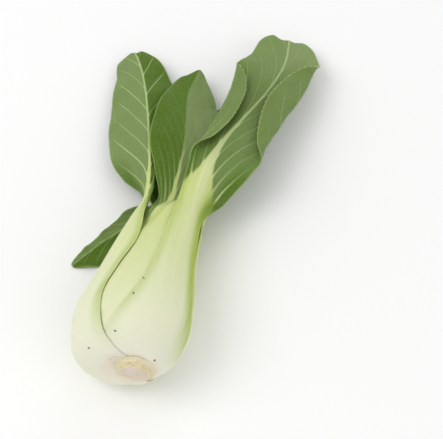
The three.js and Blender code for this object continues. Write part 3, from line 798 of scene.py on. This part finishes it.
class Wire:
    """A socket of a node tree that can be used in sums."""

    def __init__(self, tree, socket):
        self.tree = tree
        self.socket = socket

    def node(self, kind, settings=None, values=None, output=0):
        made = self.tree.nodes.new(kind)
        for key, value in (settings or {}).items():
            setattr(made, key, value)
        for key, value in (values or {}).items():
            if isinstance(value, Wire):
                self.tree.links.new(value.socket, made.inputs[key])
            else:
                made.inputs[key].default_value = value
        return Wire(self.tree, made.outputs[output])

    def maths(self, operation, first, second=0.0, clamp=False):
        settings = {"operation": operation, "use_clamp": clamp}
        return self.node("ShaderNodeMath", settings, {0: first, 1: second})

    def __add__(self, other):
        return self.maths("ADD", self, other)

    __radd__ = __add__

    def __mul__(self, other):
        return self.maths("MULTIPLY", self, other)

    __rmul__ = __mul__

    def __sub__(self, other):
        return self.maths("SUBTRACT", self, other)

    def __rsub__(self, other):
        return self.maths("SUBTRACT", other, self)

    def __truediv__(self, other):
        return self.maths("DIVIDE", self, other)

    def __abs__(self):
        return self.maths("ABSOLUTE", self)

    def limited(self):
        """The same value, kept between 0 and 1."""
        return self.maths("ADD", self, 0.0, clamp=True)

    def rise(self, low, high):
        """0 below low, 1 above high, smooth between."""
        values = {"Value": self, "From Min": low, "From Max": high}
        return self.node("ShaderNodeMapRange", {"interpolation_type": "SMOOTHSTEP"}, values)

    def mixed(self, first, second):
        """Colour between two colours, with self as the share of the second."""
        settings = {"data_type": "RGBA"}
        values = dict(zip(MIX_INPUTS, (self, first, second)))
        return self.node("ShaderNodeMix", settings, values, output=MIX_OUTPUT)

    def noise(self, scale, detail=2.0, where=None, rough=0.5):
        """Noise read at a place, by default in the piece's own coordinates."""
        if where is None:
            where = self.node("ShaderNodeTexCoord", output="Object")
        values = {"Vector": where, "Scale": scale, "Detail": detail, "Roughness": rough}
        return self.node("ShaderNodeTexNoise", {}, values)


def colour(text):
    """A display colour such as "8a9f5b" as the linear values that nodes use."""
    parts = [int(text[i : i + 2], 16) / 255 for i in (0, 2, 4)]
    linear = [c / 12.92 if c <= 0.04045 else ((c + 0.055) / 1.055) ** 2.4 for c in parts]
    return (*linear, 1.0)


def new_material(name):
    material = bpy.data.materials.new(name)
    material.use_nodes = True
    shader = material.node_tree.nodes["Principled BSDF"]
    start = Wire(material.node_tree, None)
    return material, shader, start


def attribute(wire, name):
    return wire.node("ShaderNodeAttribute", {"attribute_name": name}, output="Fac")


def connect(shader, name, wire):
    wire.tree.links.new(wire.socket, shader.inputs[name])


def emboss(shader, relief, strength, distance):
    values = {"Strength": strength, "Distance": distance, "Height": relief}
    connect(shader, "Normal", relief.node("ShaderNodeBump", {}, values))


def let_light_in(shader, radius, scale):
    shader.inputs["Subsurface Weight"].default_value = 0.3
    shader.inputs["Subsurface Radius"].default_value = radius
    shader.inputs["Subsurface Scale"].default_value = scale


# %% [markdown]
# A leaf could have one finish for its stalk and one for its blade, but then a border would show.
# So one finish serves all leaves, with a few numbers for each group. The stalk goes from ivory at
# the base through cream and pale green to yellow-green at the neck, with faint fibres along it.
# The blade is a deep green with a painted sheen for the light it reflects, and where the sheen is
# thin the deep green stands as painted shade. The midrib and side veins stay pale far up the blade,
# a net of small veins breaks up the green, and a thin pale line follows the margin. On the stalk,
# its greener sides are partly painted shade, and a painted highlight runs up the keel.

# %% Leaf colours
IVORY = colour("eae8d6")
CREAM = colour("e6e8c9")
PALE_GREEN = colour("dbe1ae")
YELLOW_GREEN = colour("cad58a")
LIME = colour("a5bb4c")
# pale painted highlight along the keel
KEEL_HIGHLIGHT = colour("dbe1ac")
DEEP_GREEN = colour("4d6d0a")
# grey-green of the painted sheen, the light reflected off the blade
SHEEN_GREEN = colour("82965f")
NET_GREEN = colour("a8bc78")
VEIN = colour("b9cb8f")
FAN_VEIN = colour("c9d88f")
MARGIN = colour("aac078")
SCAR = colour("eadfcb")
CORK = colour("cdb67c")
print("leaf colours run from", IVORY, "to", DEEP_GREEN)

# %% Leaf finish


def leaf_finish(name, greener, gloss):
    material, shader, w = new_material(name)
    keys = "station share length across phase spacing strength vein_width rib_edge half"
    station, share, length, across, phase, spacing, strength, vein_width, rib_edge, half = (
        attribute(w, key) for key in keys.split()
    )
    back, bloom, front_bloom, olive, keel, rib_show = (
        attribute(w, key) for key in "back bloom front_bloom olive keel rib_show".split()
    )

    def cells(scale, where):
        settings = {"feature": "DISTANCE_TO_EDGE", "voronoi_dimensions": "2D"}
        return w.node("ShaderNodeTexVoronoi", settings, {"Vector": where, "Scale": scale})

    flat = w.node("ShaderNodeCombineXYZ", {}, {0: across * (1 / MM), 1: length * (1 / MM)})
    fibres_at = w.node("ShaderNodeCombineXYZ", {}, {0: across * 1.1, 1: length * 0.03})
    fibres = w.noise(1.0, 3.0, fibres_at, 0.6)
    broad_at = w.node("ShaderNodeCombineXYZ", {}, {0: across * 0.33, 1: length * 0.014, 2: 7.0})
    broad = w.noise(1.0, 2.0, broad_at)
    blotch = w.noise(60.0, 3.0)

    level = station + (blotch - 0.5) * 0.9 + greener
    stalk = level.rise(0.4, 3.2).mixed(IVORY, CREAM)
    stalk = level.rise(2.2, 5.2).mixed(stalk, PALE_GREEN)
    stalk = (level + (broad - 0.5) * 1.4).rise(4.4, 7.6).mixed(stalk, YELLOW_GREEN)
    streaks = fibres.rise(0.5, 0.8) * station.rise(2.0, 6.0) * 0.28
    stalk = streaks.mixed(stalk, YELLOW_GREEN)
    # Greener sides, partly own colour and partly painted shade, deepest near the neck.
    stalk = (olive * (0.55 + broad * 0.7)).limited().mixed(stalk, LIME)
    stalk = ((olive - 0.4) * station.rise(5.6, 7.0)).limited().mixed(stalk, DEEP_GREEN)
    # Painted highlight up the keel.
    stalk = (keel * (0.5 + fibres * 0.6)).limited().mixed(stalk, KEEL_HIGHLIGHT)

    scar = (station + (w.noise(95.0, 4.0) - 0.5) * 1.1).rise(0.75, 0.35)
    stalk = (scar * 0.75).mixed(stalk, SCAR)
    crack = w.noise(150.0, 4.0).rise(0.56, 0.68) * station.rise(0.95, 0.25)
    stalk = (crack * 0.6).mixed(stalk, CORK)

    # Painted sheen over the deep green, with random patches; where it is thin, painted shade.
    patches = w.noise(34.0, 4.0, rough=0.6)
    sheen_and_patches = bloom * back + front_bloom * (1 - back) + (patches - 0.5) * 0.5
    green = sheen_and_patches.limited().mixed(DEEP_GREEN, SHEEN_GREEN)
    net = cells(330.0, flat)
    small = cells(900.0, flat)
    net_share = (1 - small.rise(0.0, 0.16)) * 0.07 + (1 - net.rise(0.0, 0.11)) * 0.1
    green = net_share.mixed(green, NET_GREEN)

    whole = w.maths("ROUND", phase)
    off_line = abs(phase - whole) * spacing
    vein = (1 - (off_line / vein_width).rise(0.3, 1.1)) * strength
    near_neck = length.rise(26.0, 4.0)
    green = vein.mixed(green, near_neck.mixed(VEIN, FAN_VEIN))

    edge_line = (half * (1 - share)).rise(0.9, 0.2)
    green = (edge_line * 0.4).mixed(green, MARGIN)

    fan_line = 1 - (off_line / (vein_width * 1.6)).rise(0.0, 1.0)
    off_rib = rib_edge + (fibres - 0.5) * 0.9 - fan_line * 0.8
    turn_green = (off_rib + (broad - 0.5) * 0.8).rise(-0.7, 0.9)
    rib_shade = station.rise(7.4, 10.5).mixed(stalk, VEIN)
    rib_blend = 1 - station.rise(7.2, 9.5) * (1 - rib_show)
    body = (turn_green * rib_blend + (1 - rib_blend)).mixed(rib_shade, green)
    connect(shader, "Base Color", body)

    rough = gloss + 0.1 * (1 - turn_green) + (blotch - 0.5) * 0.12 + vein * 0.08
    connect(shader, "Roughness", rough)

    relief = (
        net.rise(0.0, 0.3) * turn_green * 0.35
        + vein * -0.4
        + fibres * (1 - turn_green) * 0.5
        + w.noise(260.0) * 0.25
    )
    emboss(shader, relief, 0.35, 0.0006)
    let_light_in(shader, (0.9, 1.0, 0.45), 0.002)
    shader.inputs["Specular IOR Level"].default_value = 0.18
    return material


outer_finish = leaf_finish("outer_leaf_finish", 0.0, 0.46)
inner_finish = leaf_finish("inner_leaf_finish", 0.9, 0.42)
OUTER = ("leaf_left", "leaf_right", "leaf_back_left", "leaf_back_right")
for name, piece in leaf_objects.items():
    piece.data.materials.append(outer_finish if name in OUTER else inner_finish)
print("finishes:", outer_finish.name, inner_finish.name)

# %% [markdown]
# The stem was cut with a knife just below the lowest leaves. The face is nearly flat, pinkish beige
# and moist, with a corky yellow rim and faint rays from the middle. A cut cylinder would be too
# clean. A grid of rings lets the rim be uneven, the rays run out from the centre, and the last
# rings follow the stalks that the stem passes under.

# %% Cut stem
STUB_PROFILE = [
    (0.0, -4.4),
    (2.0, -4.42),
    (4.5, -4.46),
    (6.6, -4.5),
    (7.9, -4.55),
    (8.7, -4.4),
    (9.4, -4.0),
    (9.85, -3.5),
    (9.9, -3.2),
]
COLLAR = ((0.07, -0.35), (0.16, -0.1), (0.26, 0.5), (0.2, 3.0))
CORE = ((6.0, 4.5), (3.0, 8.5), (0.0, 11.8))
FACE_HEIGHT = -4.47
FACE_EDGE = (7.4, 9.2)
STUB_TURNS = 180
STUB_RINGS = 130


def stub_point(r, angle, h):
    slanted = np.clip((-h - CUT_RIM) / (CUT_DEPTH - CUT_RIM), 0, 1)
    up = r * np.cos(angle)
    h = h - slanted * up * math.tan(CUT_SLANT)
    return lay_down(np.stack([r * np.sin(angle), h, up], -1))


def close_up(piece):
    shell = bmesh.new()
    shell.from_mesh(piece.data)
    bmesh.ops.remove_doubles(shell, verts=shell.verts, dist=0.00005)
    bmesh.ops.holes_fill(shell, edges=shell.edges)
    bmesh.ops.recalc_face_normals(shell, faces=shell.faces)
    shell.to_mesh(piece.data)
    shell.free()
    piece.data.shade_smooth()


def even_rings(angle, profile):
    return [(np.full_like(angle, r), np.full_like(angle, h)) for r, h in profile]


def along_rings(rings, t):
    return np.stack([along([ring[i] for ring in rings], t[:, i]) for i in range(STUB_TURNS)], 1)


def make_stub():
    angle = np.linspace(0, 2 * math.pi, STUB_TURNS, endpoint=False)
    frayed = 0.03 * np.sin(angle * 8 + 1) + 0.02 * np.sin(angle * 19)
    rings = even_rings(angle, STUB_PROFILE)
    for station, depth in COLLAR:
        skin = bulb_point(np.clip(station + frayed, 0.01, 1), angle, depth)
        rings.append((np.hypot(skin[:, 0], skin[:, 2]), skin[:, 1]))
    rings += even_rings(angle, CORE)
    steps = np.linspace(0, len(rings) - 1, STUB_RINGS)[:, None]
    t = np.broadcast_to(steps, (STUB_RINGS, STUB_TURNS))
    r = np.maximum(along_rings([radius for radius, _ in rings], t), 0.02)
    h = along_rings([height for _, height in rings], t)
    a = np.broadcast_to(angle, r.shape)
    face = (1 - ease(r, *FACE_EDGE)) * (h < -3.9)
    rays = np.sin(a * 31 + 2 * np.sin(a * 5)) * 0.05 + np.sin(a * 17 + 1.2) * 0.06
    swell = 0.14 * np.sin(r * 1.7) * np.cos(a * 2 + 1)
    rim = ease(r, 7.3, 9.0) * (h < -2.2)
    uneven = np.sin(a * 7 + 1) * 0.2 + np.sin(a * 13 + 2.2) * 0.16 + np.sin(a * 29) * 0.1
    h = h + face * (rays * ease(r, 1.5, 5) + swell) + rim * 0.26 * np.sin(a * 9 + 0.5)
    r = r + rim * (uneven - 0.35)
    points = stub_point(r, a, h).reshape(-1, 3)
    i, j = np.meshgrid(np.arange(STUB_RINGS - 1), np.arange(STUB_TURNS), indexing="ij")
    following = (j + 1) % STUB_TURNS
    quad = [i * STUB_TURNS + j, (i + 1) * STUB_TURNS + j]
    quad += [(i + 1) * STUB_TURNS + following, i * STUB_TURNS + following]
    made = new_object("stem_cut", points, np.stack(quad, -1).reshape(-1, 4))
    store(made.data, "ring", r)
    store(made.data, "turn_sine", np.sin(a))
    store(made.data, "turn_cosine", np.cos(a))
    store(made.data, "depth", h)
    close_up(made)
    return made


stem_cut = make_stub()
print("cut stem:", len(stem_cut.data.polygons), "faces")

# %% [markdown]
# The cut face is paler and pinker in the pith and yellower towards the rim, where the tough skin
# of the stem was torn rather than cut. Rays drawn by angle would meet in a seam, so they come from
# noise that is read round the centre.

# %% Cut stem finish


def stem_finish():
    material, shader, w = new_material("cut_stem_finish")
    ring, sine, cosine, depth = (
        attribute(w, key) for key in ("ring", "turn_sine", "turn_cosine", "depth")
    )
    grain = w.noise(520.0, 4.0)
    cloud = w.noise(150.0, 3.0)
    spokes_at = w.node("ShaderNodeCombineXYZ", {}, {0: sine * 7.0, 1: cosine * 7.0, 2: ring * 0.12})
    spokes = w.noise(1.0, 3.0, spokes_at)
    face = cloud.rise(0.35, 0.7).mixed(colour("e6d8cb"), colour("dccdb8"))
    face = (spokes.rise(0.5, 0.75) * 0.45).mixed(face, colour("cdb99f"))
    bundles = 1 - abs(ring - 6.6).rise(0.3, 1.2)
    face = (bundles * grain.rise(0.42, 0.6) * 0.5).mixed(face, colour("d9cfa6"))
    rim = (ring + (grain - 0.5) * 2.2 + (cloud - 0.5) * 1.6).rise(7.9, 8.8)
    face = (rim * 0.85).mixed(face, colour("dccfa0"))
    torn = (grain.rise(0.52, 0.72) * rim * 0.6).mixed(face, colour("c2a56a"))
    skin = (depth + (cloud - 0.5) * 1.6).rise(-3.4, -2.3) * 0.75
    body = skin.mixed(torn, colour("e6dfc4"))
    connect(shader, "Base Color", body)
    connect(shader, "Roughness", 0.42 + grain * 0.25)
    emboss(shader, grain * 0.5 + spokes * 0.7, 0.5, 0.0006)
    let_light_in(shader, (1.0, 0.8, 0.5), 0.0015)
    return material


stem_cut.data.materials.append(stem_finish())
print("finish:", stem_cut.data.materials[0].name)

# %% [markdown]
# The smallest things repeat: pale water pores along the turned margin, the ends of the stem's
# bundles on the cut face, and a few dark specks where the skin was bruised. They could be copies
# placed by a loop. All are small beads pressed flat on a surface, so one Geometry Nodes tree makes
# them: it puts a bead on each point of a mesh, stood along a stored direction, with a size that
# varies from a fixed seed.

# %% Bead tree
BEAD_LIE = "lie"
FULL_TURN = 6.28


def bead_tree():
    tree = bpy.data.node_groups.new("beads_on_points", "GeometryNodeTree")
    kinds = dict(Points="Geometry", Radius="Float", Flatness="Float", Length="Float")
    kinds.update(Seed="Int", Finish="Material")
    for label, kind in kinds.items():
        tree.interface.new_socket(label, in_out="INPUT", socket_type="NodeSocket" + kind)
    tree.interface.new_socket("Beads", in_out="OUTPUT", socket_type="NodeSocketGeometry")

    w = Wire(tree, None)
    given = {label: w.node("NodeGroupInput", output=label) for label in kinds}
    ball = {"Radius": given["Radius"], "Subdivisions": 2}
    bead = w.node("GeometryNodeMeshIcoSphere", {}, ball, "Mesh")
    stored = {"data_type": "FLOAT_VECTOR"}
    lie = w.node("GeometryNodeInputNamedAttribute", stored, {"Name": BEAD_LIE}, "Attribute")
    stand = w.node("FunctionNodeAlignRotationToVector", {"axis": "Z"}, {"Vector": lie})
    any_turn = {"Max": FULL_TURN, "Seed": given["Seed"]}
    turn = w.node("FunctionNodeRandomValue", {"data_type": "FLOAT"}, any_turn, "Value")
    about_z = {"Axis": (0, 0, 1), "Angle": turn}
    spin = w.node("FunctionNodeAxisAngleToRotation", {}, about_z)
    local = {"rotation_space": "LOCAL"}
    both = w.node("FunctionNodeRotateRotation", local, {0: stand, 1: spin})
    shape = {"X": given["Length"], "Y": 1.0, "Z": given["Flatness"]}
    flat = w.node("ShaderNodeCombineXYZ", {}, shape)
    limits = {"Min": (0.6, 0.6, 0.8), "Max": (1.3, 1.2, 1.2), "Seed": given["Seed"]}
    vary = w.node("FunctionNodeRandomValue", stored, limits)
    scale = w.node("ShaderNodeVectorMath", {"operation": "MULTIPLY"}, {0: flat, 1: vary})
    stood = {"Points": given["Points"], "Instance": bead, "Rotation": both, "Scale": scale}
    placed = w.node("GeometryNodeInstanceOnPoints", {}, stood)
    real = w.node("GeometryNodeRealizeInstances", {}, {"Geometry": placed})
    dressed = {"Geometry": real, "Material": given["Finish"]}
    beads = w.node("GeometryNodeSetMaterial", {}, dressed)
    out = tree.nodes.new("NodeGroupOutput")
    tree.links.new(beads.socket, out.inputs["Beads"])
    return tree


BEADS = bead_tree()


def make_beads(name, points, directions, finish, radius, flatness, length=1.0, seed=3):
    mesh = bpy.data.meshes.new(name + "_points")
    mesh.from_pydata([tuple(point) for point in points], [], [])
    lie = mesh.attributes.new(BEAD_LIE, "FLOAT_VECTOR", "POINT")
    lie.data.foreach_set("vector", np.array(directions, np.float32).ravel())
    holder = bpy.data.objects.new(name + "_points", mesh)
    bpy.context.scene.collection.objects.link(holder)
    modifier = holder.modifiers.new("beads", "NODES")
    modifier.node_group = BEADS
    chosen = dict(Radius=radius, Flatness=flatness, Length=length, Seed=seed, Finish=finish)
    for item in BEADS.interface.items_tree:
        if item.name in chosen:
            modifier[item.identifier] = chosen[item.name]
    graph = bpy.context.evaluated_depsgraph_get()
    beads = bpy.data.meshes.new_from_object(holder.evaluated_get(graph))
    made = bpy.data.objects.new(name, beads)
    bpy.data.objects.remove(holder)
    made.data.shade_smooth()
    bpy.context.scene.collection.objects.link(made)
    print(name, len(points), "beads,", len(made.data.polygons), "faces")
    return made


# %% [markdown]
# Beads need finishes too: mottled rather than plain, because even a speck isn't one colour.

# %% Bead finish


def bead_finish(name, first, second, rough):
    material, shader, w = new_material(name)
    mottle = w.noise(1500.0, 3.0)
    connect(shader, "Base Color", mottle.rise(0.35, 0.65).mixed(colour(first), colour(second)))
    connect(shader, "Roughness", rough + mottle * 0.2)
    emboss(shader, mottle, 0.3, 0.0002)
    return material


pore_finish = bead_finish("pore_finish", "c3cf8e", "a9bd72", 0.4)
bundle_finish = bead_finish("bundle_finish", "c9b48c", "dfd2b4", 0.5)
speck_finish = bead_finish("speck_finish", "4a4a38", "7b7558", 0.7)
print("bead finishes made")

# %% [markdown]
# The pores sit on the free margin of the turned strips, a few millimetres apart, at the ends of
# the smallest veins.

# %% Water pores
PORE_STEP = 4.2


def margin_points(leaf, column, first, last):
    q, outside, inside = leaf["grid"]
    rows = (q[:, column] > first) & (q[:, column] < last)
    path = (outside[rows, column] + inside[rows, column]) / 2
    away = unit(outside[rows, column] - inside[rows, column])
    travelled = np.concatenate([[0], np.cumsum(np.linalg.norm(np.diff(path, axis=0), axis=1))])
    stops = np.arange(PORE_STEP / 2, travelled[-1], PORE_STEP)
    picked = [int(np.argmin(np.abs(travelled - stop))) for stop in stops]
    return path[picked] / MM, -away[picked]


PORE_ROWS = ((-1, 9.6, 13.2), (0, 9.4, 12.4))
pore_rows = [margin_points(LEAVES[1], *row) for row in PORE_ROWS]
pores = make_beads(
    "margin_pores",
    np.concatenate([points for points, _ in pore_rows]),
    np.concatenate([away for _, away in pore_rows]),
    pore_finish,
    radius=0.00042,
    flatness=0.8,
)

# %% [markdown]
# The bundles that carried sap end in a loose ring on the cut face, with a few strays in the pith.
# They could be spots of colour, but they stand a little proud of the pith.

# %% Bundle ends
BUNDLES = 46
BUNDLE_RING = 6.7
STRAYS = 12


def bundle_points():
    draw = np.random.default_rng(11)
    around = np.arange(BUNDLES) * 2 * math.pi / BUNDLES + draw.normal(0, 0.04, BUNDLES)
    angle = np.concatenate([around, draw.uniform(0, 2 * math.pi, STRAYS)])
    ring = BUNDLE_RING + draw.normal(0, 0.35, BUNDLES)
    r = np.concatenate([ring, draw.uniform(1, 5.6, STRAYS)])
    points = stub_point(r, angle, np.full_like(r, FACE_HEIGHT))
    face_out = unit(lay_down((0, -1, -math.tan(CUT_SLANT))) - lay_down((0, 0, 0)))
    return points / MM, np.tile(face_out, (len(r), 1))


bundles = make_beads(
    "bundle_ends", *bundle_points(), bundle_finish, radius=0.0003, flatness=0.35, seed=5
)

# %% [markdown]
# The specks are where the photograph has them. Each spot of the picture becomes a ray from the
# camera, and the speck lies where the ray meets the skin, so it is on the leaf from any side.

# %% Specks
SPECKS = {
    "round_specks": (((115.1, 330.8), (88.7, 348.0), (154.6, 360.4), (123.5, 357.0)), 0.0007, 1.0),
    "long_specks": (((133.4, 292.9), (143.6, 278.0)), 0.00045, 2.6),
}


def seen_at(x, y):
    matrix = camera.matrix_world
    eye = matrix.translation
    ray = Vector(((x - PICTURE[0] / 2), (PICTURE[1] / 2 - y), -FOCAL_PIXELS))
    ray = (matrix.to_3x3() @ ray).normalized()
    hits = []
    for piece in leaf_objects.values():
        found, place, normal, _ = piece.ray_cast(eye, ray)
        if found:
            hits.append(((place - eye).length, place, normal))
    _, place, normal = min(hits, key=lambda hit: hit[0])
    return place, normal


bpy.context.view_layer.update()
specks = []
for name, (spots, radius, length) in SPECKS.items():
    places, normals = zip(*(seen_at(*spot) for spot in spots))
    specks.append(make_beads(name, places, normals, speck_finish, radius, 0.3, length, seed=8))

# %% [markdown]
# The table is a plain white sheet, and the light is soft. One lamp alone would throw a hard shadow,
# so there is a bright even sky with a broad lamp above and to the left and weaker ones from the
# right and behind, and the shadows stay pale.

# %% Table and light
TABLE_SIZE = 6
SKY = 0.69
LAMPS = {
    "key_lamp": ((-0.7, -0.35, 1.25), 0.9, 6.5),
    "fill_lamp": ((1.0, -0.6, 0.8), 1.2, 2),
    "back_lamp": ((0.2, 1.2, 0.9), 1.0, 2),
}


def make_table():
    mesh = bpy.data.meshes.new("table")
    s = TABLE_SIZE / 2
    mesh.from_pydata([(-s, -s, 0), (s, -s, 0), (s, s, 0), (-s, s, 0)], [], [(0, 1, 2, 3)])
    table = bpy.data.objects.new("table", mesh)
    bpy.context.scene.collection.objects.link(table)
    material, shader, w = new_material("table_finish")
    connect(shader, "Base Color", w.noise(900.0).mixed(colour("fbfbfa"), colour("fdfdfd")))
    shader.inputs["Roughness"].default_value = 0.85
    mesh.materials.append(material)
    return table


def area_lamp(name, place, size, power):
    data = bpy.data.lights.new(name, "AREA")
    data.size = size
    data.energy = power
    lamp = bpy.data.objects.new(name, data)
    lamp.location = place
    lamp.rotation_euler = (-Vector(place)).to_track_quat("-Z", "Y").to_euler()
    bpy.context.scene.collection.objects.link(lamp)


def make_sky():
    world = bpy.data.worlds.new("sky")
    world.use_nodes = True
    background = world.node_tree.nodes["Background"]
    background.inputs["Color"].default_value = (1, 1, 1, 1)
    background.inputs["Strength"].default_value = SKY
    bpy.context.scene.world = world


make_table()
make_sky()
for name, (place, size, power) in LAMPS.items():
    area_lamp(name, place, size, power)
bpy.context.scene.view_settings.view_transform = "Standard"
print("lights:", [light.name for light in bpy.data.lights])

# %% [markdown]
# Last, each imported solid is hidden, since a piece made here takes its place, and every piece
# moves with the one body.

# %% Tie the pieces to the frame
for name, piece in leaf_objects.items():
    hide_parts(name)
    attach(piece, "root")
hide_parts("stem_base")
for piece in (stem_cut, bundles):
    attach(piece, "root")
for piece in (pores, *specks):
    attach(piece, "root")
